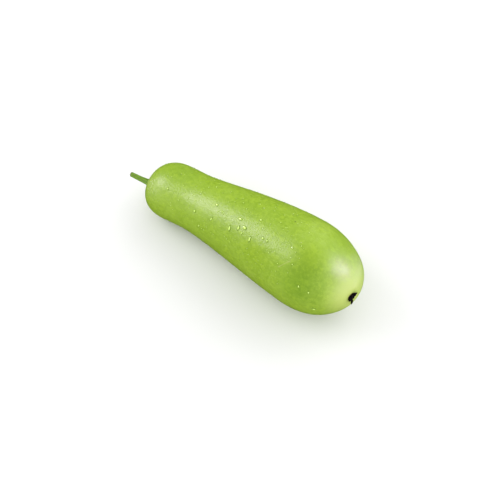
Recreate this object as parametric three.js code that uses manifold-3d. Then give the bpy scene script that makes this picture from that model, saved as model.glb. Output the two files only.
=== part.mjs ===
// Bottle gourd, picked young for the kitchen and lying on its side: the fruit, the cut stem at
// its thin end, and the dried flower on its thick end.
//
// Millimetres, +Z up. +X runs from the stem to the dried flower. The origin is on the ground,
// under the middle of the whole piece.

import * as THREE from 'three';
import { mergeVertices } from 'three/addons/utils/BufferGeometryUtils.js';
import Module from 'manifold-3d';

// Driving dimensions of the fruit
const fruitLength = 262;
const neckRadius = 30.5;
const bulbRadius = 47.5;
const flankStart = 60; // the neck begins to widen here, measured from the stem end
const flankEnd = 179.5; // the flank reaches the bulb's girth here
const neckBlend = 4.8; // how softly the neck runs into the flank
const bulbBlend = 10; // how softly the flank runs into the bulb
const shoulder = { at: 30, reach: 30, swell: 1 }; // slight thickening behind the stem end
const stemEnd = { length: 33, power: 2.7 }; // blunt round end
const blossomEnd = { length: 68.5, power: 2.07 }; // fuller round end
const bow = 5.8; // sideways bend of the middle
const sway = 0.2; // a little more of that bend towards the stem
const tipLean = { sideways: 2.9, reach: 22 }; // the blossom end turns back the same way
const oval = { share: 0.004, turn: 0.5 }; // the section is slightly wider than high
const lobes = { count: 5, share: 0.003, turn: 0.9, twist: 0.6 }; // the faint seed chambers

// How it lies
const lieTilt = THREE.MathUtils.degToRad(5.5); // neck and bulb touch the ground together
const groundSink = 1; // depth of the two flat spots that it rests on
const clearance = 0.3; // left between the fruit and what grows on it

// Driving dimensions of the stem
const stem = {
  length: 26.8,
  tipRadius: 2.5,
  shaftRadius: 2.8,
  footRadius: 4.6,
  footLength: 6,
  cutLip: 0.2,
  rise: 1.9, // how far the cut end bends up
  drift: 1.8, // and how far it leans to the near side
  ridges: 5,
  ridgeShare: 0.07,
  ridgeTwist: 0.5,
  crowding: 1.4, // draws the rings together towards the foot
};

// Driving dimensions of the dried flower
const button = { halfLength: 5, halfWidth: 3.4, turn: 0.45, seat: 0.8, height: 2.2 };
const crumples = [
  { count: 3, share: 0.1, turn: 0 },
  { count: 7, share: 0.06, turn: -0.14 },
];
const petals = [
  { turn: 0.2, length: 8.7, width: 0.8, rise: 0.7 },
  { turn: 0.42, length: 7, width: 1.9, rise: 0.9 },
  { turn: 1.7, length: 4, width: 1.3, rise: 1 },
  { turn: 2.7, length: 4.4, width: 1.4, rise: 0.8 },
  { turn: 3.5, length: 5.6, width: 1.9, rise: 0.7 },
  { turn: 4.2, length: 8.6, width: 1.5, rise: 2.2 },
  { turn: 5.4, length: 3.8, width: 1.3, rise: 0.9 },
];
const petalShape = {
  flatness: 0.6,
  fullness: 0.8, // below 1 the widest part lies nearer the root
  rootLift: 1, // height of the root in the button
  arch: 0.7, // half turns of the rise from root to tip
  hook: 0.5, // sideways bend of the tip, in widths
};

// Where the two grow from the fruit: beside the ends of its axis, each in a shallow dip
const stemSpot = {
  facing: -1,
  across: -4.7,
  up: 1.3,
  girth: neckRadius,
  end: stemEnd,
  dip: { depth: 1.4, reach: 8 },
};
const scarSpot = {
  facing: 1,
  across: -9,
  up: 3.4,
  girth: bulbRadius,
  end: blossomEnd,
  dip: { depth: 0.9, reach: 7 },
};

// Fineness of the facets
const fruitRings = 60;
const fruitSides = 48;
const outlineStations = 400;
const crowding = 0.07; // draws the rings together towards both ends
const stemRings = 14;
const stemSides = 30;
const petalRings = 7;
const petalSides = 8;
const buttonSides = 20;
const weldDistance = 0.001;

const manifold = await Module();
manifold.setup();

const fruitSkin = new THREE.MeshStandardMaterial({ color: '#9ebd46', roughness: 0.42, metalness: 0 });
const stemSkin = new THREE.MeshStandardMaterial({ color: '#799c3b', roughness: 0.62, metalness: 0 });
const witheredPetal = new THREE.MeshStandardMaterial({ color: '#1d1112', roughness: 0.8, metalness: 0 });

function smoothMin(a, b, blend) {
  const overlap = Math.max(blend - Math.abs(a - b), 0) / blend;
  return Math.min(a, b) - (overlap ** 3) * blend / 6;
}

function smoothMax(a, b, blend) {
  return -smoothMin(-a, -b, blend);
}

// Share of the full girth left at a distance from a rounded end
function roundedEnd(distance, end) {
  const inward = Math.max(1 - distance / end.length, 0);
  return (1 - inward ** end.power) ** (1 / end.power);
}

// Distance from a rounded end at which the fruit has a given radius
function endDepth(radius, girth, end) {
  const inward = (1 - (radius / girth) ** end.power) ** (1 / end.power);
  return end.length * (1 - inward);
}

// The neck, then a straight flank, then the bulb, run softly together and rounded at both ends
function fruitRadius(x) {
  const flankShare = (x - flankStart) / (flankEnd - flankStart);
  const flank = neckRadius + (bulbRadius - neckRadius) * flankShare;
  const body = smoothMin(smoothMax(neckRadius, flank, neckBlend), bulbRadius, bulbBlend);
  const nearShoulder = Math.max(1 - ((x - shoulder.at) / shoulder.reach) ** 2, 0);
  const girth = body + shoulder.swell * nearShoulder ** 2;
  return girth * roundedEnd(x, stemEnd) * roundedEnd(fruitLength - x, blossomEnd);
}

function centreLine(x) {
  const turn = Math.PI * x / fruitLength;
  const lean = tipLean.sideways * Math.exp(-(((fruitLength - x) / tipLean.reach) ** 2));
  return bow * Math.sin(turn) + sway * Math.sin(2 * turn) + lean;
}

function dipDepth(distance, dip) {
  return dip.depth * Math.exp(-((distance / dip.reach) ** 2));
}

// A closed turned shape whose outline runs along X. place(radius, angle, along) gives each
// point's final position, with the angle measured round X from +Y towards +Z.
function turnedShape(outline, sides, place) {
  const geometry = new THREE.LatheGeometry(outline, sides);
  const position = geometry.attributes.position;
  const point = new THREE.Vector3();
  for (let i = 0; i < position.count; i += 1) {
    point.fromBufferAttribute(position, i);
    const radius = Math.hypot(point.x, point.z);
    const angle = Math.atan2(point.x, point.z);
    position.setXYZ(i, ...place(radius, angle, point.y));
  }
  geometry.deleteAttribute('normal');
  geometry.deleteAttribute('uv');
  return mergeVertices(geometry, weldDistance);
}

// Points at nearly even steps along the fruit's outline, closer together at the ends
function fruitOutline() {
  const stations = [];
  for (let i = 0; i <= outlineStations; i += 1) {
    const x = fruitLength * (1 - Math.cos(Math.PI * i / outlineStations)) / 2;
    stations.push(new THREE.Vector2(fruitRadius(x), x));
  }
  const outline = new THREE.SplineCurve(stations);
  outline.arcLengthDivisions = outlineStations * 4;
  const points = [new THREE.Vector2(0, 0)];
  for (let i = 1; i < fruitRings; i += 1) {
    const share = i / fruitRings;
    points.push(outline.getPointAt(share - crowding * Math.sin(2 * Math.PI * share)));
  }
  points.push(new THREE.Vector2(0, fruitLength));
  return points;
}

function placeOnFruit(radius, angle, along) {
  const ovalPart = oval.share * Math.cos(2 * (angle - oval.turn));
  const lobeTurn = lobes.turn + lobes.twist * along / fruitLength;
  const lobePart = lobes.share * Math.cos(lobes.count * (angle - lobeTurn));
  const swollen = radius * (1 + ovalPart + lobePart);
  const across = swollen * Math.cos(angle);
  const up = swollen * Math.sin(angle);
  const spot = along < fruitLength / 2 ? stemSpot : scarSpot;
  const spotDistance = Math.hypot(across - spot.across, up - spot.up);
  const sunk = spot.facing * dipDepth(spotDistance, spot.dip);
  return [along - sunk, centreLine(along) + across, up];
}

// What would reach below the ground is pressed flat on it
function flattenOnGround(geometry) {
  const position = geometry.attributes.position;
  for (let i = 0; i < position.count; i += 1) {
    position.setZ(i, Math.max(position.getZ(i), 0));
  }
}

// The stem runs out along +X from its flared foot to its cut end, five-ridged and bent upwards
function makeStem() {
  const points = [new THREE.Vector2(0, 0)];
  for (let i = 0; i <= stemRings; i += 1) {
    const share = (i / stemRings) ** stem.crowding;
    const flare = (stem.footRadius - stem.shaftRadius) * Math.exp(-share * stem.length / stem.footLength);
    const taper = (stem.tipRadius - stem.shaftRadius) * share;
    points.push(new THREE.Vector2(stem.shaftRadius + flare + taper, share * stem.length));
  }
  points.push(new THREE.Vector2(stem.tipRadius - 2 * stem.cutLip, stem.length + stem.cutLip));
  points.push(new THREE.Vector2(0, stem.length));
  return turnedShape(points, stemSides, (radius, angle, along) => {
    const share = along / stem.length;
    const ridge = stem.ridgeShare * Math.cos(stem.ridges * (angle - stem.ridgeTwist * share));
    const ridged = radius * (1 + ridge);
    const drift = stem.drift * share;
    const lift = stem.rise * share ** 2;
    return [along, drift + ridged * Math.cos(angle), lift + ridged * Math.sin(angle)];
  });
}

function solidOf(geometry) {
  return new manifold.Manifold(new manifold.Mesh({
    numProp: 3,
    vertProperties: geometry.attributes.position.array,
    triVerts: new Uint32Array(geometry.index.array),
  }));
}

function geometryOf(solid) {
  const mesh = solid.getMesh();
  const geometry = new THREE.BufferGeometry();
  geometry.setAttribute('position', new THREE.BufferAttribute(mesh.vertProperties, 3));
  geometry.setIndex(new THREE.BufferAttribute(mesh.triVerts, 1));
  return geometry;
}

// The hard oval base that the withered petals hang from
function makeButton() {
  const outline = [
    new THREE.Vector2(0, 0),
    new THREE.Vector2(button.seat, 0),
    new THREE.Vector2(1, button.height * 0.3),
    new THREE.Vector2(0.85, button.height * 0.65),
    new THREE.Vector2(0.5, button.height * 0.95),
    new THREE.Vector2(0, button.height),
  ];
  const geometry = turnedShape(outline, buttonSides, (share, angle, along) => {
    const folds = crumples.map((fold) => fold.share * Math.cos(fold.count * (angle - fold.turn)));
    const crumpled = share * folds.reduce((sum, fold) => sum + fold, 1);
    const lengthways = button.halfLength * crumpled * Math.cos(angle);
    return [along, lengthways, button.halfWidth * crumpled * Math.sin(angle)];
  });
  return geometry.applyMatrix4(new THREE.Matrix4().makeRotationX(button.turn));
}

// One shrivelled petal: a flattened spindle that leans out over the skin and curls at its end
function makePetal(petal) {
  const outline = [new THREE.Vector2(0, 0)];
  for (let i = 1; i < petalRings; i += 1) {
    const share = i / petalRings;
    const halfWidth = petal.width * Math.sin(Math.PI * share ** petalShape.fullness);
    outline.push(new THREE.Vector2(halfWidth, share * petal.length));
  }
  outline.push(new THREE.Vector2(0, petal.length));
  const geometry = turnedShape(outline, petalSides, (radius, angle, along) => {
    const share = along / petal.length;
    const lift = petalShape.rootLift + petal.rise * Math.sin(Math.PI * share * petalShape.arch);
    const thick = petalShape.flatness * radius * Math.sin(angle);
    const bend = petalShape.hook * petal.width * share ** 2;
    return [lift + thick, along, radius * Math.cos(angle) + bend];
  });
  return geometry.applyMatrix4(new THREE.Matrix4().makeRotationX(petal.turn));
}

function makeDriedBlossom() {
  const parts = [makeButton(), ...petals.map(makePetal)];
  return geometryOf(parts.map(solidOf).reduce((whole, part) => whole.add(part)));
}

// A group that stands at a spot of the skin, +X straight out of it. Its zero plane clears the
// dip's floor and sides out to the seat's radius.
function standOnSkin(spot, seat) {
  const step = 0.1;
  const off = Math.hypot(spot.across, spot.up);
  const depth = endDepth(off, spot.girth, spot.end);
  const slope = (endDepth(off + step, spot.girth, spot.end) - depth) / step;
  const x = spot.facing > 0 ? fruitLength - depth : depth;
  const leanAcross = slope * spot.across / off;
  const leanUp = slope * spot.up / off;
  const outward = new THREE.Vector3(spot.facing, leanAcross, leanUp).normalize();
  const side = new THREE.Vector3(0, 0, 1).cross(outward).normalize();
  const above = new THREE.Vector3().crossVectors(outward, side);
  const group = new THREE.Group();
  group.quaternion.setFromRotationMatrix(new THREE.Matrix4().makeBasis(outward, side, above));
  group.position.set(x, centreLine(x) + spot.across, spot.up);
  group.position.addScaledVector(outward, clearance - dipDepth(seat, spot.dip));
  return group;
}

function named(name, geometry, material) {
  const mesh = new THREE.Mesh(geometry, material);
  mesh.name = name;
  return mesh;
}

const lying = new THREE.Group();
lying.rotation.y = -lieTilt;
lying.updateMatrix();

const fruitGeometry = turnedShape(fruitOutline(), fruitSides, placeOnFruit).applyMatrix4(lying.matrix);
fruitGeometry.computeBoundingBox();
lying.position.z = -fruitGeometry.boundingBox.min.z - groundSink;
fruitGeometry.translate(0, 0, lying.position.z);
flattenOnGround(fruitGeometry);

const stemPlace = standOnSkin(stemSpot, stem.footRadius);
stemPlace.add(named('stem', makeStem(), stemSkin));

const blossomPlace = standOnSkin(scarSpot, button.seat * button.halfLength);
blossomPlace.add(named('dried_blossom', makeDriedBlossom(), witheredPetal));

lying.add(stemPlace, blossomPlace);

const gourd = new THREE.Group();
gourd.add(named('fruit', fruitGeometry, fruitSkin), lying);

const middle = new THREE.Box3().setFromObject(gourd, true).getCenter(new THREE.Vector3());
for (const piece of gourd.children) {
  piece.position.x -= middle.x;
  piece.position.y -= middle.y;
}

export default gourd;
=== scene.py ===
import math

import bpy
from mathutils import Matrix, Vector, noise


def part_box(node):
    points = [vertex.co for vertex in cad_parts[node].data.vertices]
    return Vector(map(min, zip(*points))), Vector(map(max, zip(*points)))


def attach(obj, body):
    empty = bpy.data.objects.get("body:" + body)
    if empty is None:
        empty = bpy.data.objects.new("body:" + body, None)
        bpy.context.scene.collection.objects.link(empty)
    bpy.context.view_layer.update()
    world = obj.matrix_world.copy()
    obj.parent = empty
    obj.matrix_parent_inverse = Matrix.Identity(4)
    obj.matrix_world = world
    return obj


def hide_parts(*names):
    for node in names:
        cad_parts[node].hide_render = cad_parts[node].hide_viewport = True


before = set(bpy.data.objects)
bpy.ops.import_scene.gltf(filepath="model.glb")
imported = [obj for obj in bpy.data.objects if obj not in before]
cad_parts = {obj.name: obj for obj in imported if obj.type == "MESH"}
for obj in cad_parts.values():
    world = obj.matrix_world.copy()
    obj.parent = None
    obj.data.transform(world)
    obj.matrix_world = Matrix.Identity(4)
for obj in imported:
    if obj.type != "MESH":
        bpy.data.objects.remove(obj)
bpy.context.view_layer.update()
print("frame loaded:", ", ".join(sorted(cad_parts)))

mm = 0.001


# a socket that can be written in sums; each sum adds its Math node
class Wire:
    def __init__(self, maker, socket):
        self.maker = maker
        self.socket = socket

    def math(self, operation, *others):
        return self.maker.math(operation, self, *others)

    def __add__(self, other):
        return self.math("ADD", other)

    def __sub__(self, other):
        return self.math("SUBTRACT", other)

    def __rsub__(self, other):
        return self.maker.math("SUBTRACT", other, self)

    def __mul__(self, other):
        return self.math("MULTIPLY", other)

    def __truediv__(self, other):
        return self.math("DIVIDE", other)

    def __rtruediv__(self, other):
        return self.maker.math("DIVIDE", other, self)

    def __pow__(self, other):
        return self.math("POWER", other)

    __radd__ = __add__
    __rmul__ = __mul__

    def least(self, other):
        return self.math("MINIMUM", other)

    def most(self, other):
        return self.math("MAXIMUM", other)

    # 0 below low, 1 above high, soft between; low may be the larger one
    def between(self, low, high):
        return self.maker.add(
            "ShaderNodeMapRange",
            {"interpolation_type": "SMOOTHSTEP"},
            {"Value": self, "From Min": low, "From Max": high, "To Min": 0.0, "To Max": 1.0},
        )

    def other(self, name):
        return Wire(self.maker, self.socket.node.outputs[name])


class NodeMaker:
    def __init__(self, tree):
        self.tree = tree

    # settings are set first, then values or links go into the sockets
    def add(self, kind, settings=None, values=None, output=0):
        node = self.tree.nodes.new(kind)
        for name, value in (settings or {}).items():
            setattr(node, name, value)
        for name, value in (values or {}).items():
            wires = value if isinstance(value, list) else [value]
            for wire in wires:
                if isinstance(wire, Wire):
                    self.tree.links.new(wire.socket, node.inputs[name])
                else:
                    node.inputs[name].default_value = wire
        return Wire(self, node.outputs[output]) if len(node.outputs) else None

    def math(self, operation, *values):
        return self.add("ShaderNodeMath", {"operation": operation}, dict(enumerate(values)))

    def split(self, vector):
        x = self.add("ShaderNodeSeparateXYZ", {}, {0: vector})
        return x, x.other("Y"), x.other("Z")

    def join(self, x, y, z):
        return self.add("ShaderNodeCombineXYZ", {}, {0: x, 1: y, 2: z})

    def vector(self, operation, *values, output=0):
        return self.add("ShaderNodeVectorMath", {"operation": operation}, dict(enumerate(values)), output)

    def gap(self, a, b):
        return self.vector("DISTANCE", a, b, output="Value")

    def mix(self, share, first, second, blend="MIX"):
        settings = {"data_type": "RGBA", "blend_type": blend}
        return self.add("ShaderNodeMix", settings, {0: share, 6: first, 7: second}, 2)

    # each layer laid over the colour is where it shows, how strongly, and its own colour
    def layer(self, colour, layers):
        for mask, share, tone in layers:
            colour = self.mix(mask * share, colour, tone)
        return colour

    def cloud(self, place, grain, detail=2.0, rough=0.5):
        values = {"Vector": place, "Scale": 1 / grain, "Detail": detail, "Roughness": rough}
        return self.add("ShaderNodeTexNoise", {}, values)

    def bump(self, height, strength, distance):
        values = {"Height": height, "Strength": strength, "Distance": distance}
        return self.add("ShaderNodeBump", {}, values)


def paint(red, green, blue):
    # a screen colour from 0 to 255 as linear light
    return tuple(
        ((c / 255 + 0.055) / 1.055) ** 2.4 if c > 10 else c / 255 / 12.92 for c in (red, green, blue)
    ) + (1.0,)


def newMaterial(name):
    material = bpy.data.materials.new(name)
    material.use_nodes = True
    material.node_tree.nodes.clear()
    return material


def finishMaterial(nodes, shader):
    nodes.add("ShaderNodeOutputMaterial", {}, {"Surface": shader})


# a tree whose sizes are named inputs; returns the tree, its maker and the inputs as wires
def newTree(name, sizes):
    tree = bpy.data.node_groups.new(name, "GeometryNodeTree")
    tree.interface.new_socket(name="Geometry", in_out="INPUT", socket_type="NodeSocketGeometry")
    tree.interface.new_socket(name="Geometry", in_out="OUTPUT", socket_type="NodeSocketGeometry")
    kinds = {
        float: "NodeSocketFloat",
        int: "NodeSocketInt",
        bpy.types.Material: "NodeSocketMaterial",
        bpy.types.Object: "NodeSocketObject",
    }
    for label, value in sizes.items():
        tree.interface.new_socket(name=label, in_out="INPUT", socket_type=kinds[type(value)])
    nodes = NodeMaker(tree)
    group = nodes.add("NodeGroupInput")
    return tree, nodes, {label: group.other(label) for label in ["Geometry", *sizes]}


def endTree(nodes, geometry, material):
    geometry = nodes.add("GeometryNodeRealizeInstances", {}, {"Geometry": geometry})
    geometry = nodes.add("GeometryNodeSetShadeSmooth", {}, {"Geometry": geometry, "Shade Smooth": True})
    geometry = nodes.add("GeometryNodeSetMaterial", {}, {"Geometry": geometry, "Material": material})
    nodes.add("NodeGroupOutput", {}, {"Geometry": geometry})


# runs a tree on a base mesh and keeps the result as a plain mesh
def growPiece(name, tree, sizes, base=None):
    piece = bpy.data.objects.new(name, base or bpy.data.meshes.new(name))
    bpy.context.scene.collection.objects.link(piece)
    modifier = piece.modifiers.new("grow", "NODES")
    modifier.node_group = tree
    for item in tree.interface.items_tree:
        if item.in_out == "INPUT" and item.name in sizes:
            modifier[item.identifier] = sizes[item.name]
    evaluated = piece.evaluated_get(bpy.context.evaluated_depsgraph_get())
    mesh = bpy.data.meshes.new_from_object(evaluated)
    piece.modifiers.clear()
    piece.data = mesh
    mesh.name = name
    return piece


def meshPiece(name, points, faces, material):
    mesh = bpy.data.meshes.new(name)
    mesh.from_pydata(points, [], faces)
    mesh.shade_smooth()
    mesh.materials.append(material)
    piece = bpy.data.objects.new(name, mesh)
    bpy.context.scene.collection.objects.link(piece)
    return piece


def report(piece):
    piece.data.calc_loop_triangles()
    print(piece.name, "made,", len(piece.data.loop_triangles), "triangles")


# the fruit
fruitSizes = {
    "Length": 262 * mm,
    "Neck radius": 30.5 * mm,
    "Bulb radius": 47.45 * mm,  # a hair under the solid's, so that no ripple stands outside it
    "Flank start": 60 * mm,
    "Flank end": 179.5 * mm,
    "Neck blend": 4.8 * mm,
    "Bulb blend": 10 * mm,
    "Shoulder place": 30 * mm,
    "Shoulder swell": 1 * mm,
    "Stem end length": 33 * mm,
    "Stem end power": 2.7,
    "Blossom end length": 68.5 * mm,
    "Blossom end power": 2.07,
    "Bow": 5.8 * mm,
    "Sway": 0.2 * mm,
    "Tip lean": 2.9 * mm,
    "Tip lean reach": 22 * mm,
    "Oval": 0.004,
    "Lobes": 0.003,
    "Unevenness": 0.012,
    "Puckers": 0.3 * mm,
    "Lie tilt": math.radians(5.5),
    "Ground blend": 0.5 * mm,
    "Sides": 200,
    "Rings": 230,
}
fruitForm = {
    "ovalTurn": 0.5,
    "lobeCount": 5,  # the faint seed chambers
    "lobeTurn": 0.9,
    "lobeTwist": 0.6,
    "unevenGrain": 0.3,  # measured on the unit ball that the fruit is shaped from
}
fruitPlace = Vector((-118.241, -3.94, 27.679)) * mm  # the stem end of the fruit's own axis
# the dips that the stem and the flower stand in, each with a ring of small folds round it
stemSpot = {
    "facing": -1, "across": -4.7 * mm, "up": 1.3 * mm, "depth": 1.4 * mm, "reach": 8 * mm,
    "folds": 10, "foldShare": 0.6, "foldStart": 3 * mm, "foldTop": 6 * mm, "foldEnd": 13 * mm,
}
scarSpot = {
    "facing": 1, "across": -9 * mm, "up": 3.4 * mm, "depth": 0.9 * mm, "reach": 7 * mm,
    "folds": 9, "foldShare": 0.3, "foldStart": 2 * mm, "foldTop": 5 * mm, "foldEnd": 9 * mm,
}
rootSink = 0.15 * mm  # how deep what grows on the fruit is rooted in its skin


def roundedEnd(distance, length, power):
    inward = (1 - distance / length).most(0.0)
    return (1 - inward ** power).most(0.0) ** (1 / power)


# how deep the skin is sunk at a spot's dip and the folds round it
def sunkAt(spot, across, up, foldHeight):
    aside = across - spot["across"]
    above = up - spot["up"]
    gap = (aside * aside + above * above) ** 0.5
    turn = above.math("ARCTAN2", aside)
    share = gap / spot["reach"]
    dip = spot["depth"] * (share * share * -1).math("EXPONENT")
    fold = (turn * spot["folds"]).math("COSINE")
    fold = fold * gap.between(spot["foldStart"], spot["foldTop"])
    fold = fold * gap.between(spot["foldEnd"], spot["foldTop"])
    return dip + fold * foldHeight * spot["foldShare"]


def fruitTree(sizes):
    tree, nodes, size = newTree("fruitShape", sizes)
    ball = nodes.add(
        "GeometryNodeMeshUVSphere", {},
        {"Segments": size["Sides"], "Rings": size["Rings"], "Radius": 1.0},
    )
    start = nodes.add("GeometryNodeInputPosition")
    x, y, z = nodes.split(start)
    share = (z + 1) * 0.5
    along = share * size["Length"]
    fromTip = size["Length"] - along
    angle = y.math("ARCTAN2", x)

    flankShare = (along - size["Flank start"]) / (size["Flank end"] - size["Flank start"])
    flank = size["Neck radius"] + (size["Bulb radius"] - size["Neck radius"]) * flankShare
    body = flank.math("SMOOTH_MAX", size["Neck radius"], size["Neck blend"])
    body = body.math("SMOOTH_MIN", size["Bulb radius"], size["Bulb blend"])
    fromShoulder = (along - size["Shoulder place"]) / size["Shoulder place"]
    nearShoulder = (1 - fromShoulder * fromShoulder).most(0.0)
    girth = body + size["Shoulder swell"] * nearShoulder * nearShoulder
    radius = girth * roundedEnd(along, size["Stem end length"], size["Stem end power"])
    radius = radius * roundedEnd(fromTip, size["Blossom end length"], size["Blossom end power"])

    form = fruitForm
    ovalPart = size["Oval"] * (2 * (angle - form["ovalTurn"])).math("COSINE")
    lobeAngle = angle - form["lobeTurn"] - form["lobeTwist"] * share
    lobePart = size["Lobes"] * (form["lobeCount"] * lobeAngle).math("COSINE")
    uneven = (nodes.cloud(start, form["unevenGrain"]) - 0.5) * size["Unevenness"]
    swollen = radius * (1 + ovalPart + lobePart + uneven)
    across = swollen * angle.math("COSINE")
    up = swollen * (angle - math.pi / 2).math("COSINE")

    sunkStem = sunkAt(stemSpot, across, up, size["Puckers"])
    sunkScar = sunkAt(scarSpot, across, up, size["Puckers"])
    atStem = along.math("LESS_THAN", size["Length"] * 0.5)
    sunk = sunkStem * atStem - sunkScar * (1 - atStem)

    lean = fromTip / size["Tip lean reach"]
    centre = size["Bow"] * (share * math.pi - math.pi / 2).math("COSINE")
    centre = centre + size["Sway"] * (share * (2 * math.pi) - math.pi / 2).math("COSINE")
    centre = centre + size["Tip lean"] * (lean * lean * -1).math("EXPONENT")

    # tilted so that neck and bulb both touch the ground, and pressed flat there
    long = along + sunk
    cosTilt = size["Lie tilt"].math("COSINE")
    sinTilt = size["Lie tilt"].math("SINE")
    worldX = long * cosTilt - up * sinTilt + fruitPlace.x
    worldY = centre + across + fruitPlace.y
    worldZ = long * sinTilt + up * cosTilt + fruitPlace.z
    worldZ = worldZ.math("SMOOTH_MAX", 0.0, size["Ground blend"])
    shaped = nodes.add(
        "GeometryNodeSetPosition", {},
        {"Geometry": ball, "Position": nodes.join(worldX, worldY, worldZ)},
    )
    endTree(nodes, shaped, size["Skin"])
    return tree


skinMaterial = newMaterial("gourdSkin")
fruitInputs = {**fruitSizes, "Skin": skinMaterial}
fruit = growPiece("gourd_fruit", fruitTree(fruitInputs), fruitInputs)
report(fruit)
low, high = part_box("fruit")
shapeLow = Vector(map(min, *[v.co for v in fruit.data.vertices]))
shapeHigh = Vector(map(max, *[v.co for v in fruit.data.vertices]))
print("fruit off its solid, mm:", [round(v / mm, 2) for v in (*(shapeLow - low), *(shapeHigh - high))])


# the camera
cameraView = {
    "azimuth": 36.77,  # degrees round from the near side, towards the blossom end
    "elevation": 57.9,
    "distance": 1.15,
    "lens": 80.16,
    "sensor": 36,
    "aim": Vector((20.38, -15.8, 35.55)) * mm,
    "picture": 500,  # pixels across and down
}


def cameraAxes():
    azimuth = math.radians(cameraView["azimuth"])
    elevation = math.radians(cameraView["elevation"])
    back = Vector((
        math.sin(azimuth) * math.cos(elevation),
        -math.cos(azimuth) * math.cos(elevation),
        math.sin(elevation),
    ))
    right = Vector((math.cos(azimuth), math.sin(azimuth), 0))
    return back, right, back.cross(right)


def addCamera():
    back, right, up = cameraAxes()
    data = bpy.data.cameras.new("camera")
    data.lens = cameraView["lens"]
    data.sensor_width = cameraView["sensor"]
    camera = bpy.data.objects.new("camera", data)
    bpy.context.scene.collection.objects.link(camera)
    turn = Matrix((right, up, back)).transposed().to_4x4()
    camera.matrix_world = Matrix.Translation(cameraView["aim"] + back * cameraView["distance"]) @ turn
    bpy.context.scene.camera = camera


addCamera()


# the point of the fruit that a pixel of the picture shows, and which way its skin faces
def skinAt(pixel):
    back, right, up = cameraAxes()
    half = cameraView["picture"] / 2
    focus = cameraView["lens"] / cameraView["sensor"] * cameraView["picture"]
    ray = right * (pixel[0] + 0.5 - half) - up * (pixel[1] + 0.5 - half) - back * focus
    start = cameraView["aim"] + back * cameraView["distance"]
    hit, point, normal, _ = fruit.ray_cast(start, ray.normalized())
    if not hit:
        raise ValueError(f"pixel {pixel} misses the fruit")
    return point, normal


# distance from a rounded end at which the fruit has a given radius
def endDepth(radius, girth, length, power):
    inward = (1 - (radius / girth) ** power) ** (1 / power)
    return length * (1 - inward)


def standOnSkin(spot, girth, length, power, seat):
    step = 0.1 * mm
    total = fruitSizes["Length"]
    off = math.hypot(spot["across"], spot["up"])
    depth = endDepth(off, girth, length, power)
    slope = (endDepth(off + step, girth, length, power) - depth) / step
    x = total - depth if spot["facing"] > 0 else depth
    outward = Vector((spot["facing"], slope * spot["across"] / off, slope * spot["up"] / off)).normalized()
    side = Vector((0, 0, 1)).cross(outward).normalized()
    above = outward.cross(side)
    turn = math.pi * x / total
    centre = fruitSizes["Bow"] * math.sin(turn) + fruitSizes["Sway"] * math.sin(2 * turn)
    centre += fruitSizes["Tip lean"] * math.exp(-(((total - x) / fruitSizes["Tip lean reach"]) ** 2))
    sunk = spot["depth"] * math.exp(-((seat / spot["reach"]) ** 2))
    place = Vector((x, centre + spot["across"], spot["up"])) + outward * (-rootSink - sunk)
    local = Matrix.Translation(place) @ Matrix((outward, side, above)).transposed().to_4x4()
    lying = Matrix.Translation(fruitPlace) @ Matrix.Rotation(-fruitSizes["Lie tilt"], 4, "Y")
    return lying @ local


# points and faces of a closed turned shape: its outline of (radius, along) runs along X
# and starts and ends at radius 0; place gives each point from radius, angle and along
def turnedShape(outline, sides, place):
    points, faces, rings = [], [], []
    for radius, along in outline:
        count = 1 if radius == 0 else sides
        rings.append(range(len(points), len(points) + count))
        points += [place(radius, 2 * math.pi * i / sides, along) for i in range(count)]
    for ring, following in zip(rings, rings[1:]):
        for i in range(sides):
            k = (i + 1) % sides
            if len(ring) == 1:
                faces.append((ring[0], following[k], following[i]))
            elif len(following) == 1:
                faces.append((ring[i], ring[k], following[0]))
            else:
                faces.append((ring[i], ring[k], following[k], following[i]))
    return points, faces


# the stem
stemSizes = {
    "length": 26.8 * mm,
    "tipRadius": 2.5 * mm,
    "shaftRadius": 2.8 * mm,
    "footRadius": 4.6 * mm,
    "footLength": 6 * mm,
    "rise": 1.9 * mm,
    "drift": 1.8 * mm,
    "ridges": 5,
    "ridgeShare": 0.07,
    "ridgeTwist": 0.5,
    "furrowShare": 0.012,  # fine furrows between the ridges
    "furrows": 23,
    "furrowSwing": 3,  # how far the furrows wind to and fro, and how often
    "furrowWaves": 7,
    "knotShare": 0.02,
    "knotLength": 5 * mm,
    "knotsRound": 2,
    "cutRound": 0.35 * mm,
    "rimTurns": (0.35, 0.8, 1.2, 1.5),  # steps round the cut end's rim, in radians
    "pithSink": 0.35 * mm,
    "pithEdge": 0.86,
    "pithRings": (0.8, 0.7, 0.6, 0.45, 0.3, 0.15),
    "rings": 90,
    "crowding": 1.3,  # draws the rings together towards the foot
    "sides": 120,
}
stemPlace = standOnSkin(
    stemSpot, fruitSizes["Neck radius"], fruitSizes["Stem end length"],
    fruitSizes["Stem end power"], stemSizes["footRadius"],
)


def stemRadius(share):
    s = stemSizes
    flare = (s["footRadius"] - s["shaftRadius"]) * math.exp(-share * s["length"] / s["footLength"])
    return s["shaftRadius"] + flare + (s["tipRadius"] - s["shaftRadius"]) * share


def stemPoint(radius, angle, along):
    s = stemSizes
    share = along / s["length"]
    turn = angle - s["ridgeTwist"] * share
    ridge = s["ridgeShare"] * math.cos(s["ridges"] * turn)
    swing = s["furrowSwing"] * math.sin(s["furrowWaves"] * share)
    furrow = s["furrowShare"] * math.sin(s["furrows"] * turn + swing)
    spread = s["knotsRound"]
    knotSpot = Vector((along / s["knotLength"], spread * math.cos(angle), spread * math.sin(angle)))
    knots = s["knotShare"] * noise.noise(knotSpot)
    ridged = radius * (1 + ridge + furrow + knots)
    across = s["drift"] * share + ridged * math.cos(angle)
    up = s["rise"] * share ** 2 + ridged * math.sin(angle)
    return stemPlace @ Vector((along, across, up))


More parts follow.
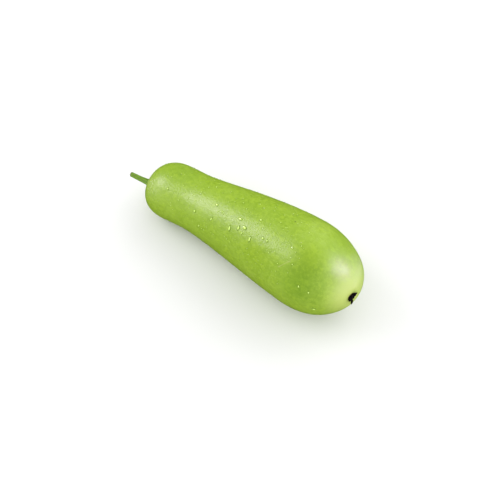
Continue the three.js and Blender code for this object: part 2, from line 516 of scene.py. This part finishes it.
def stemOutline():
    s = stemSizes
    outline = [(0, 0)]
    for i in range(s["rings"] + 1):
        share = (i / s["rings"]) ** s["crowding"]
        outline.append((stemRadius(share), share * (s["length"] - s["cutRound"])))
    tip = stemRadius(1)
    for turn in s["rimTurns"]:
        outline.append((
            tip - s["cutRound"] * (1 - math.cos(turn)),
            s["length"] - s["cutRound"] * (1 - math.sin(turn)),
        ))
    for share in s["pithRings"]:
        sink = s["pithSink"] * (1 - (share / s["pithEdge"]) ** 4)
        outline.append((tip * share, s["length"] - sink))
    outline.append((0, s["length"] - s["pithSink"]))
    return outline


stemMaterial = newMaterial("stemSkin")


# the stem carries three values for its colours: the share of its length, how near a ridge,
# and how near the middle of the cut end
def addStem():
    s = stemSizes
    outline = stemOutline()
    points, faces = turnedShape(outline, s["sides"], stemPoint)
    stem = meshPiece("gourd_stem", points, faces, stemMaterial)
    along = stem.data.attributes.new("along", "FLOAT", "POINT")
    rib = stem.data.attributes.new("rib", "FLOAT", "POINT")
    core = stem.data.attributes.new("core", "FLOAT", "POINT")
    cutStart = s["rings"] + len(s["rimTurns"])
    index = 0
    for ring, (radius, distance) in enumerate(outline):
        for i in range(1 if radius == 0 else s["sides"]):
            share = distance / s["length"]
            turn = 2 * math.pi * i / s["sides"] - s["ridgeTwist"] * share
            along.data[index].value = share
            rib.data[index].value = 0.5 + 0.5 * math.cos(s["ridges"] * turn)
            core.data[index].value = 1 - radius / s["tipRadius"] if ring > cutStart else 0.0
            index += 1
    report(stem)
    return stem


stem = addStem()


def paintStem():
    look = {
        "green": paint(120, 165, 26),
        "pale": paint(134, 178, 38),
        "shade": paint(92, 128, 20),
        "brown": paint(96, 104, 30),
        "foot": paint(100, 138, 26),
        "pith": paint(196, 204, 150),
        "rim": paint(92, 102, 42),
        "streakGrain": 1.1 * mm,
        "streakStretch": (0.25, 1.0, 1.0),  # below 1 the streaks run along the stem
        "patchGrain": 4 * mm,
        "rough": 0.5,
        "bumpStrength": 0.5,
        "bumpHeight": 0.4 * mm,
        "gloss": 0.3,
    }
    nodes = NodeMaker(stemMaterial.node_tree)
    place = nodes.add("ShaderNodeTexCoord", output="Object")

    def mark(name):
        return nodes.add("ShaderNodeAttribute", {"attribute_name": name}, output="Fac")

    along, rib, core = mark("along"), mark("rib"), mark("core")
    stretched = nodes.vector("MULTIPLY", place, look["streakStretch"])
    streaks = nodes.cloud(stretched, look["streakGrain"], 3.0)
    patches = nodes.cloud(place, look["patchGrain"])
    colour = nodes.layer(look["shade"], (
        (rib, 0.6, look["green"]),
        (streaks.between(0.45, 0.75), 0.55, look["pale"]),
        (patches.between(0.52, 0.72), 0.45, look["brown"]),
        (along.between(0.25, 0.0), 0.6, look["foot"]),
        (along.between(0.9, 0.99), 0.7, look["rim"]),
        (core.between(0.12, 0.3), 1.0, look["pith"]),
    ))
    height = streaks * 0.6 + patches * 0.3
    bump = nodes.bump(height, look["bumpStrength"], look["bumpHeight"])
    shader = nodes.add("ShaderNodeBsdfPrincipled", {}, {
        "Base Color": colour, "Roughness": look["rough"] + streaks * 0.2, "Normal": bump,
        "Specular IOR Level": look["gloss"],
    })
    finishMaterial(nodes, shader)


paintStem()


# down on the stem
downSizes = {
    "Density": 0.7e6,  # hairs on a square metre
    "Length": 0.6 * mm,
    "Thickness": 0.03 * mm,
    "Tip share": 0.2,
    "Shortest": 0.45,
    "Longest": 1.25,
    "Start": 0.02,  # the down grows between these shares of the stem's length
    "End": 0.96,
    "Seed": 11,
    "Lean seed": 3,
    "Length seed": 5,
}
downLean = ((-0.7, -0.7, -0.7), (0.4, 0.7, 0.7))  # from and to; mostly towards the cut end


def downTree(sizes):
    tree, nodes, size = newTree("stemDown", sizes)
    share = nodes.add("GeometryNodeInputNamedAttribute", {"data_type": "FLOAT"}, {"Name": "along"})
    onSide = share.math("LESS_THAN", size["End"]) * share.math("GREATER_THAN", size["Start"])
    spread = nodes.add(
        "GeometryNodeDistributePointsOnFaces", {"distribute_method": "RANDOM"},
        {"Mesh": size["Geometry"], "Selection": onSide, "Density": size["Density"], "Seed": size["Seed"]},
    )
    normal = spread.other("Normal")
    lean = nodes.add(
        "FunctionNodeRandomValue", {"data_type": "FLOAT_VECTOR"},
        {0: downLean[0], 1: downLean[1], "Seed": size["Lean seed"]},
    )
    toward = nodes.vector("ADD", normal, lean)
    turn = nodes.add("FunctionNodeAlignRotationToVector", {"axis": "Z"}, {"Vector": toward})
    tall = nodes.add(
        "FunctionNodeRandomValue", {"data_type": "FLOAT"},
        {2: size["Shortest"], 3: size["Longest"], "Seed": size["Length seed"]}, 1,
    )
    hair = nodes.add("GeometryNodeMeshCone", {"fill_type": "NGON"}, {
        "Vertices": 3, "Side Segments": 1, "Radius Top": size["Thickness"] * size["Tip share"],
        "Radius Bottom": size["Thickness"], "Depth": size["Length"],
    })
    hairs = nodes.add("GeometryNodeInstanceOnPoints", {}, {
        "Points": spread, "Instance": hair, "Rotation": turn, "Scale": nodes.join(1.0, 1.0, tall),
    })
    endTree(nodes, hairs, size["Down"])
    return tree


downMaterial = newMaterial("stemDown")
downInputs = {**downSizes, "Down": downMaterial}
down = growPiece("stem_down", downTree(downInputs), downInputs, stem.data.copy())
report(down)


def paintDown():
    look = {"pale": paint(130, 172, 50), "green": paint(104, 144, 30), "grain": 3 * mm, "rough": 0.6}
    nodes = NodeMaker(downMaterial.node_tree)
    place = nodes.add("ShaderNodeTexCoord", output="Object")
    patch = nodes.cloud(place, look["grain"])
    colour = nodes.mix(patch.between(0.3, 0.7), look["pale"], look["green"])
    values = {"Base Color": colour, "Roughness": look["rough"]}
    shader = nodes.add("ShaderNodeBsdfPrincipled", {}, values)
    finishMaterial(nodes, shader)


paintDown()


# the dried flower: an oval button with withered petals
button = {
    "halfLength": 5 * mm,
    "halfWidth": 3.4 * mm,
    "turn": 0.45,
    "seat": 0.8,  # the part of its width that sits on the fruit
    "height": 2.2 * mm,
    # from the widest part to near the top: share of its width and share of its height
    "steps": ((1, 0.3), (0.98, 0.45), (0.85, 0.65), (0.7, 0.82), (0.5, 0.93), (0.25, 0.98)),
    "sides": 48,
}
crumples = [(3, 0.1, 0), (7, 0.06, -0.14)]  # folds round, depth and turn
petals = [  # turn in radians, then length, half width and rise in mm
    (0.2, 8.7, 0.8, 0.7),
    (0.42, 7, 1.9, 0.9),
    (1.7, 4, 1.3, 1),
    (2.7, 4.4, 1.4, 0.8),
    (3.5, 5.6, 1.9, 0.7),
    (4.2, 8.6, 1.5, 2.2),
    (5.4, 3.8, 1.3, 0.9),
]
petalShape = {
    "flatness": 0.6, "fullness": 0.8, "rootLift": 1.0, "arch": 0.7, "hook": 0.5,
    "rings": 22, "sides": 24, "wrinkles": 5, "wrinkleShare": 0.16,
}
flowerFinish = {
    "voxel": 0.2 * mm,
    "crumple": 0.28 * mm,
    "crumpleGrain": 1.5 * mm,
    "fineTimes": 2.3,  # a second, finer crumpling
    "fineShare": 0.5,
    "fineShift": Vector((7, 3, 1)),
}
flowerPlace = standOnSkin(
    scarSpot, fruitSizes["Bulb radius"], fruitSizes["Blossom end length"],
    fruitSizes["Blossom end power"], button["seat"] * button["halfLength"],
)


def buttonPoint(share, angle, along):
    crumpled = share * (1 + sum(depth * math.cos(n * (angle - turn)) for n, depth, turn in crumples))
    lengthways = button["halfLength"] * crumpled * math.cos(angle)
    point = Vector((along, lengthways, button["halfWidth"] * crumpled * math.sin(angle)))
    return Matrix.Rotation(button["turn"], 3, "X") @ point


def buttonShape():
    outline = [(0, 0), (button["seat"], 0)]
    outline += [(share, button["height"] * height) for share, height in button["steps"]]
    return turnedShape(outline + [(0, button["height"])], button["sides"], buttonPoint)


def petalShapeOf(turn, length, width, rise):
    p = petalShape
    length, width, rise = length * mm, width * mm, rise * mm
    swing = Matrix.Rotation(turn, 3, "X")
    outline = [(0, 0)]
    for i in range(1, p["rings"]):
        share = i / p["rings"]
        outline.append((width * math.sin(math.pi * share ** p["fullness"]), share * length))

    def place(radius, angle, along):
        share = along / length
        fold = 1 + p["wrinkleShare"] * math.cos(p["wrinkles"] * angle + 3 * share + turn)
        lift = p["rootLift"] * mm + rise * math.sin(math.pi * share * p["arch"])
        thick = p["flatness"] * radius * fold * math.sin(angle)
        bend = p["hook"] * width * share ** 2
        return swing @ Vector((lift + thick, along, radius * fold * math.cos(angle) + bend))

    return turnedShape(outline + [(0, length)], p["sides"], place)


flowerMaterial = newMaterial("driedFlower")


def addFlower():
    finish = flowerFinish
    points, faces = [], []
    for made in [buttonShape()] + [petalShapeOf(*petal) for petal in petals]:
        faces += [tuple(i + len(points) for i in face) for face in made[1]]
        points += made[0]
    flower = meshPiece("dried_flower", [flowerPlace @ p for p in points], faces, flowerMaterial)
    # grown into one skin, then crumpled
    fuse = flower.modifiers.new("fuse", "REMESH")
    fuse.mode = "VOXEL"
    fuse.voxel_size = finish["voxel"]
    mesh = bpy.data.meshes.new_from_object(flower.evaluated_get(bpy.context.evaluated_depsgraph_get()))
    flower.modifiers.clear()
    flower.data = mesh
    normals = [v.normal.copy() for v in mesh.vertices]
    for vertex, normal in zip(mesh.vertices, normals):
        grain = vertex.co / finish["crumpleGrain"]
        fine = noise.noise(grain * finish["fineTimes"] + finish["fineShift"])
        fold = noise.noise(grain) + finish["fineShare"] * fine
        vertex.co += normal * finish["crumple"] * fold
    mesh.shade_smooth()
    mesh.materials.clear()
    mesh.materials.append(flowerMaterial)
    report(flower)
    return flower


flower = addFlower()


def paintFlower():
    look = {
        "dark": paint(10, 4, 6),
        "brown": paint(34, 18, 18),
        "dry": paint(58, 42, 30),
        "patchGrain": 2.2 * mm,
        "fineGrain": 0.5 * mm,
        "rough": 0.7,
        "bumpStrength": 0.7,
        "bumpHeight": 0.3 * mm,
        "gloss": 0.05,
    }
    nodes = NodeMaker(flowerMaterial.node_tree)
    place = nodes.add("ShaderNodeTexCoord", output="Object")
    patch = nodes.cloud(place, look["patchGrain"], 3.0)
    grain = nodes.cloud(place, look["fineGrain"])
    colour = nodes.layer(look["dark"], (
        (patch.between(0.5, 0.8), 0.4, look["brown"]),
        (grain.between(0.62, 0.8), 0.25, look["dry"]),
    ))
    bump = nodes.bump(grain * 0.5 + patch * 0.5, look["bumpStrength"], look["bumpHeight"])
    shader = nodes.add("ShaderNodeBsdfPrincipled", {}, {
        "Base Color": colour, "Roughness": look["rough"] + patch * 0.25, "Normal": bump,
        "Specular IOR Level": look["gloss"],
    })
    finishMaterial(nodes, shader)


paintFlower()


# the fruit's skin
skinMarks = {
    "speck": (294.8, 221.3),  # pixel of a tiny dark speck
    "scratch": ((278, 266.3), (289.4, 260.5)),  # ends of a fine healed scratch
    # broad patches of deeper and paler green: pixel in their middle, reach and tint; part is the skin's own
    # tone and part is painted light and painted shade, as said at the patches below
    "toneAndLightPatchCore": 4 * mm,  # within this distance a patch is full
    "toneAndLightPatchShare": 0.8,
    "patches": [
        # deeper green low on the bulb: partly the skin's own tone, partly painted shade
        ((298, 283), 36 * mm, (0.67, 0.77, 0.25, 1.0)),
        # deeper green between the two highlights: partly the skin's own tone, partly painted shade
        ((306, 262), 26 * mm, (0.86, 0.89, 0.15, 1.0)),
        # painted shade under the bulb's highlight, which makes the highlight look whiter
        ((342, 270), 15 * mm, (0.94, 0.88, 0.92, 1.0)),
        # paler low on the bulb end: partly the end's own pale tone, partly painted light
        ((332, 293), 24 * mm, (1.15, 1.12, 1.3, 1.0)),
        # paler and bluer on top of the bulb: painted light and painted sheen
        ((318, 230), 30 * mm, (1.22, 1.14, 2.2, 1.0)),
        ((185, 172), 22 * mm, (0.87, 0.9, 1.0, 1.0)),
        ((256, 248), 26 * mm, (0.96, 0.97, 0.3, 1.0)),
    ],
}


def paintSkin():
    look = {
        "deep": paint(132, 165, 30),
        "leaf": paint(144, 176, 42),
        "pale": paint(158, 187, 66),
        "lime": paint(160, 190, 34),
        "yellow": paint(182, 198, 100),
        "cork": paint(104, 84, 46),
        "stemShade": paint(116, 146, 40),
        "speck": paint(70, 74, 34),
        "scratch": paint(176, 182, 100),
        "broadGrain": 45 * mm,
        "blotchGrain": 8 * mm,
        "mottleGrain": 4 * mm,
        "fineGrain": 2 * mm,
        "streakGrain": 1.8 * mm,
        "streakStretch": (0.3, 1.0, 1.0),  # below 1 the streaks run along the fruit
        "dotGap": 3.2 * mm,
        "scarWander": 4 * mm,  # how far the edges of the coloured areas wander
        "stemWander": 3 * mm,
        "toneAndLightPatchWander": 12 * mm,
        "rough": 0.28,
        "bumpStrength": 0.5,
        "bumpHeight": 0.36 * mm,
    }
    nodes = NodeMaker(skinMaterial.node_tree)
    place = nodes.add("ShaderNodeTexCoord", output="Object")
    broad = nodes.cloud(place, look["broadGrain"])
    blotch, mottle, grain = (
        nodes.cloud(place, look[size], 3.0, 0.6) for size in ("blotchGrain", "mottleGrain", "fineGrain")
    )
    streaks = nodes.cloud(nodes.vector("MULTIPLY", place, look["streakStretch"]), look["streakGrain"])
    cells = nodes.add(
        "ShaderNodeTexVoronoi", {"feature": "F1"},
        {"Vector": place, "Scale": 1 / look["dotGap"], "Randomness": 1.0}, "Distance",
    )
    dots = cells.between(0.26, 0.1)

    def distanceFrom(point, wander):
        return nodes.gap(place, tuple(point)) + (mottle - 0.5) * wander

    # round the flower the skin is pale and yellow, with a corky ring; round the stem it is darker
    fromScar = distanceFrom(flowerPlace.translation, look["scarWander"])
    fromStem = distanceFrom(stemPlace.translation, look["stemWander"])
    colour = nodes.layer(look["deep"], (
        (mottle.between(0.34, 0.66), 1.0, look["leaf"]),
        (broad.between(0.4, 0.7), 0.35, look["pale"]),
        (streaks.between(0.5, 0.8), 0.25, look["pale"]),
        (grain.between(0.5, 0.75), 0.3, look["pale"]),
        (dots, 0.35, look["pale"]),
        (blotch.between(0.5, 0.66), 0.25, look["lime"]),
        (blotch.between(0.46, 0.32), 0.3, look["pale"]),
        (fromScar.between(36 * mm, 8 * mm), 0.8, look["yellow"]),
        (fromScar.between(4.8 * mm, 3.8 * mm), 0.85, look["cork"]),
        (fromStem.between(15 * mm, 5 * mm), 0.7, look["stemShade"]),
    ))
    # each patch multiplies the colour: partly the skin's own tone, partly painted light and painted shade
    for pixel, reach, tint in skinMarks["patches"]:
        fromToneAndPaintedLightPatch = distanceFrom(skinAt(pixel)[0], look["toneAndLightPatchWander"])
        inToneAndPaintedLightPatch = fromToneAndPaintedLightPatch.between(reach, skinMarks["toneAndLightPatchCore"]) * skinMarks["toneAndLightPatchShare"]
        colour = nodes.mix(inToneAndPaintedLightPatch, colour, tint, "MULTIPLY")

    fromSpeck = nodes.gap(place, tuple(skinAt(skinMarks["speck"])[0]))
    first, last = (skinAt(pixel)[0] for pixel in skinMarks["scratch"])
    run = last - first
    offset = nodes.vector("SUBTRACT", place, tuple(first))
    share = nodes.vector("DOT_PRODUCT", offset, tuple(run / run.length_squared), output="Value")
    nearest = nodes.add(
        "ShaderNodeVectorMath", {"operation": "SCALE"}, {0: tuple(run), "Scale": share.most(0.0).least(1.0)}
    )
    fromScratch = nodes.gap(offset, nearest)
    colour = nodes.layer(colour, (
        (fromSpeck.between(1.1 * mm, 0.5 * mm), 0.7, look["speck"]),
        (fromScratch.between(0.7 * mm, 0.3 * mm), 0.5, look["scratch"]),
    ))

    # the skin is finely pitted along the neck and smooth round the flower
    rough = look["rough"] + blotch * 0.1 + grain * 0.1 + fromScar.between(70 * mm, 25 * mm) * 0.08
    pitted = 0.3 + fromScar.between(35 * mm, 110 * mm) * 1.1
    height = (grain + mottle * 0.5 + blotch * 0.3 + dots * -0.3) * pitted
    bump = nodes.bump(height, look["bumpStrength"], look["bumpHeight"])
    shader = nodes.add("ShaderNodeBsdfPrincipled", {}, {
        "Base Color": colour, "Roughness": rough, "Normal": bump, "IOR": 1.5,
    })
    finishMaterial(nodes, shader)


paintSkin()
print("materials painted")


# water drops: pixel, length and width in mm, and how many degrees each leans from the
# picture's downward line
drops = [
    ((229.1, 227.8), 6.7, 3.2, 12),
    ((238.0, 227.6), 6.1, 3.0, 24),
    ((244.3, 227.4), 6.1, 3.8, -38),
    ((249.2, 238.7), 7.0, 3.0, 18),
    ((239.8, 218.6), 6.4, 3.0, -60),
    ((210.8, 218.6), 5.5, 2.5, 40),
    ((241.2, 232.7), 3.8, 2.1, 10),
    ((262.3, 237.8), 3.5, 2.8, 0),
    ((266.6, 240.4), 3.2, 2.4, 0),
    ((260.4, 219.7), 4.3, 2.2, -80),
    ((167.4, 188.2), 3.2, 2.5, 0),
    ((194.2, 210.6), 4.3, 2.8, 10),
    ((216.6, 204.4), 4.3, 2.8, -20),
    ((198.5, 225.1), 3.8, 2.2, 20),
    ((298.0, 285.8), 3.5, 2.2, 0),
    ((308.0, 292.0), 3.5, 2.2, 20),
    ((313.3, 308.3), 4.4, 3.2, -70),
]
dropHeight = 0.26  # in widths
dropSizes = {
    "Fine density": 14000.0,  # beads on a square metre
    "Fine size": 0.75 * mm,
    "Fine smallest": 0.5,
    "Fine largest": 1.2,
    "Fine stretch": 1.3,
    "Fine height": 0.5,
    "Dry beyond": 85 * mm,  # the thick end carries no beads
    "Dry below": 0.25,  # and neither does skin that faces less upwards than this
    "Seed": 4,
    "Size seed": 8,
}


def dropPoints():
    points = [skinAt(pixel) for pixel, _, _, _ in drops]
    mesh = bpy.data.meshes.new("dropPoints")
    mesh.from_pydata([point for point, _ in points], [], [])
    outward = mesh.attributes.new("outward", "FLOAT_VECTOR", "POINT")
    run = mesh.attributes.new("run", "FLOAT_VECTOR", "POINT")
    span = mesh.attributes.new("span", "FLOAT_VECTOR", "POINT")
    for i, (pixel, length, width, lean) in enumerate(drops):
        turn = math.radians(lean)
        below = (pixel[0] - math.sin(turn), pixel[1] + math.cos(turn))
        outward.data[i].vector = points[i][1]
        run.data[i].vector = skinAt(below)[0] - points[i][0]
        span.data[i].vector = (length / 2 * mm, width / 2 * mm, width * dropHeight * mm)
    return mesh


# large drops on the given points, and fine beads strewn over the fruit
def dropTree(sizes):
    tree, nodes, size = newTree("waterDrops", sizes)

    def stored(name):
        return nodes.add(
            "GeometryNodeInputNamedAttribute", {"data_type": "FLOAT_VECTOR"}, {"Name": name}
        )

    upright = nodes.add("FunctionNodeAlignRotationToVector", {"axis": "Z"}, {"Vector": stored("outward")})
    turned = nodes.add(
        "FunctionNodeAlignRotationToVector", {"axis": "X", "pivot_axis": "Z"},
        {"Rotation": upright, "Vector": stored("run")},
    )

    # keeps how high each point is in its drop, for the painted light and painted shade of the drop's colour
    def domed(shape):
        _, _, height = nodes.split(nodes.add("GeometryNodeInputPosition"))
        return nodes.add(
            "GeometryNodeStoreNamedAttribute", {"data_type": "FLOAT", "domain": "POINT"},
            {"Geometry": shape, "Name": "dome", "Value": height},
        )

    ball = domed(nodes.add("GeometryNodeMeshIcoSphere", {}, {"Radius": 1.0, "Subdivisions": 4}))
    large = nodes.add("GeometryNodeInstanceOnPoints", {}, {
        "Points": size["Geometry"], "Instance": ball, "Rotation": turned, "Scale": stored("span"),
    })

    fruitShape = nodes.add(
        "GeometryNodeObjectInfo", {"transform_space": "ORIGINAL"}, {"Object": size["Fruit"]}, "Geometry"
    )
    spread = nodes.add(
        "GeometryNodeDistributePointsOnFaces", {"distribute_method": "RANDOM"},
        {"Mesh": fruitShape, "Density": size["Fine density"], "Seed": size["Seed"]},
    )
    facing = spread.other("Normal")
    _, _, tilt = nodes.split(facing)
    along, _, _ = nodes.split(nodes.add("GeometryNodeInputPosition"))
    dry = tilt.math("LESS_THAN", size["Dry below"]).most(along.math("GREATER_THAN", size["Dry beyond"]))
    kept = nodes.add(
        "GeometryNodeDeleteGeometry", {"domain": "POINT"}, {"Geometry": spread, "Selection": dry}
    )
    flat = nodes.add("FunctionNodeAlignRotationToVector", {"axis": "Z"}, {"Vector": facing})
    downhill = nodes.add(
        "FunctionNodeAlignRotationToVector", {"axis": "X", "pivot_axis": "Z"},
        {"Rotation": flat, "Vector": (0.0, 0.0, -1.0)},
    )
    spanFine = size["Fine size"] * nodes.add(
        "FunctionNodeRandomValue", {"data_type": "FLOAT"},
        {2: size["Fine smallest"], 3: size["Fine largest"], "Seed": size["Size seed"]}, 1,
    )
    bead = domed(nodes.add("GeometryNodeMeshUVSphere", {}, {"Segments": 8, "Rings": 5, "Radius": 1.0}))
    fine = nodes.add("GeometryNodeInstanceOnPoints", {}, {
        "Points": kept, "Instance": bead, "Rotation": downhill,
        "Scale": nodes.join(spanFine * size["Fine stretch"], spanFine, spanFine * size["Fine height"]),
    })
    both = nodes.add("GeometryNodeJoinGeometry", {}, {"Geometry": [large, fine]})
    endTree(nodes, both, size["Water"])
    return tree


waterMaterial = newMaterial("waterClear")
dropInputs = {**dropSizes, "Fruit": fruit, "Water": waterMaterial}
waterDrops = growPiece("water_drops", dropTree(dropInputs), dropInputs, dropPoints())
report(waterDrops)


# a drop's colour is painted: a painted pool of light in its middle and painted shade round its rim,
# standing in for the light the drop gathers
def paintWater():
    look = {
        # painted shade round the drop's rim
        "paintedShadeEdge": paint(124, 158, 40),
        # painted light gathered in the drop's middle
        "middle": paint(208, 236, 124),
        "edgeCover": 0.45,  # how much of the skin under it each part covers
        "middleCover": 0.95,
        "rough": 0.14,
    }
    nodes = NodeMaker(waterMaterial.node_tree)
    dome = nodes.add("ShaderNodeAttribute", {"attribute_name": "dome"}, output="Fac")
    core = dome.between(0.55, 0.95)
    cover = look["edgeCover"] + core * (look["middleCover"] - look["edgeCover"])
    colour = nodes.mix(core, look["paintedShadeEdge"], look["middle"])
    shader = nodes.add("ShaderNodeBsdfPrincipled", {}, {
        "Base Color": colour, "Roughness": look["rough"], "IOR": 1.333, "Alpha": cover,
    })
    finishMaterial(nodes, shader)


paintWater()


# floor and light
studio = {
    "floorSize": 8.0,
    "floorWhite": 0.78,
    "fill": 1.0,
    "tint": {"matt": (1.0, 1.0, 1.0), "shine": (1.0, 0.86, 1.0)},
    "middles": {  # what the boxes stand round
        "whole": Vector((0, 0, 0.05)),
        "end": Vector((0.1, -0.01, 0.02)),
        "neck": Vector((-0.1, -0.03, 0.05)),
    },
    # use, azimuth from +X, elevation, distance, width, height, spread, power and middle;
    # matt boxes light the surfaces, shine boxes show only in their gloss
    "boxes": [
        ("matt", -157, 42, 1.8, 1.2, 0.8, 180, 10, "whole"),
        ("matt", -28, 18, 1.8, 1.6, 1.0, 180, 7, "whole"),
        ("matt", 38, 20, 1.8, 1.6, 1.1, 180, 8, "whole"),
        ("matt", 80, 40, 1.8, 1.6, 1.2, 180, 8, "whole"),
        ("shine", -160, 37, 1.8, 0.9, 0.5, 180, 22, "whole"),
        ("shine", -127, 15, 0.12, 0.07, 0.07, 180, 0.026, "neck"),
        ("shine", -166, -4, 0.1, 0.12, 0.06, 180, 0.034, "neck"),
        ("shine", 12, 20, 1.8, 2.6, 1.2, 180, 7, "whole"),
        ("shine", 26, 41, 0.21, 0.14, 0.14, 44, 0.135, "end"),
        ("shine", 2, 16, 0.15, 0.15, 0.06, 180, 0.07, "end"),
        ("shine", 45, 4, 0.15, 0.15, 0.08, 180, 0.12, "end"),
    ],
}


def addFloor():
    half = studio["floorSize"] / 2
    corners = [(-half, -half, 0), (half, -half, 0), (half, half, 0), (-half, half, 0)]
    material = newMaterial("floorWhite")
    nodes = NodeMaker(material.node_tree)
    shader = nodes.add(
        "ShaderNodeBsdfPrincipled", {},
        {"Base Color": (studio["floorWhite"],) * 3 + (1.0,), "Roughness": 1.0, "Specular IOR Level": 0.0},
    )
    finishMaterial(nodes, shader)
    floor = meshPiece("floor", [Vector(c) for c in corners], [(0, 1, 2, 3)], material)
    floor.visible_glossy = False


def addLights():
    world = bpy.data.worlds.new("studio")
    world.use_nodes = True
    background = world.node_tree.nodes["Background"]
    background.inputs["Color"].default_value = (1, 1, 1, 1)
    background.inputs["Strength"].default_value = studio["fill"]
    world.cycles_visibility.glossy = False
    bpy.context.scene.world = world
    for number, box in enumerate(studio["boxes"]):
        use, turn, rise, distance, width, height, spread, power, middle = box
        azimuth, elevation = math.radians(turn), math.radians(rise)
        flat = math.cos(elevation)
        toward = Vector((math.cos(azimuth) * flat, math.sin(azimuth) * flat, math.sin(elevation)))
        data = bpy.data.lights.new(f"{use}Box{number}", "AREA")
        data.shape = "RECTANGLE"
        data.size = width
        data.size_y = height
        data.spread = math.radians(spread)
        data.energy = power
        data.color = studio["tint"][use]
        data.cycles.use_multiple_importance_sampling = use == "matt"
        light = bpy.data.objects.new(data.name, data)
        bpy.context.scene.collection.objects.link(light)
        light.rotation_euler = toward.to_track_quat("Z", "Y").to_euler()
        light.location = studio["middles"][middle] + toward * distance
        light.visible_camera = False
        light.visible_glossy = use == "shine"
        light.visible_diffuse = use == "matt"


addFloor()
addLights()
bpy.context.scene.view_settings.view_transform = "Standard"
print("studio lit")

for piece, node, slot in (
    (fruit, "fruit", "fruit_skin"),
    (stem, "stem", "stem_skin"),
    (down, None, "stem_skin"),
    (flower, "dried_blossom", "withered_petal"),
    (waterDrops, None, None),
):
    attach(piece, "root")
    if node:
        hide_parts(node)
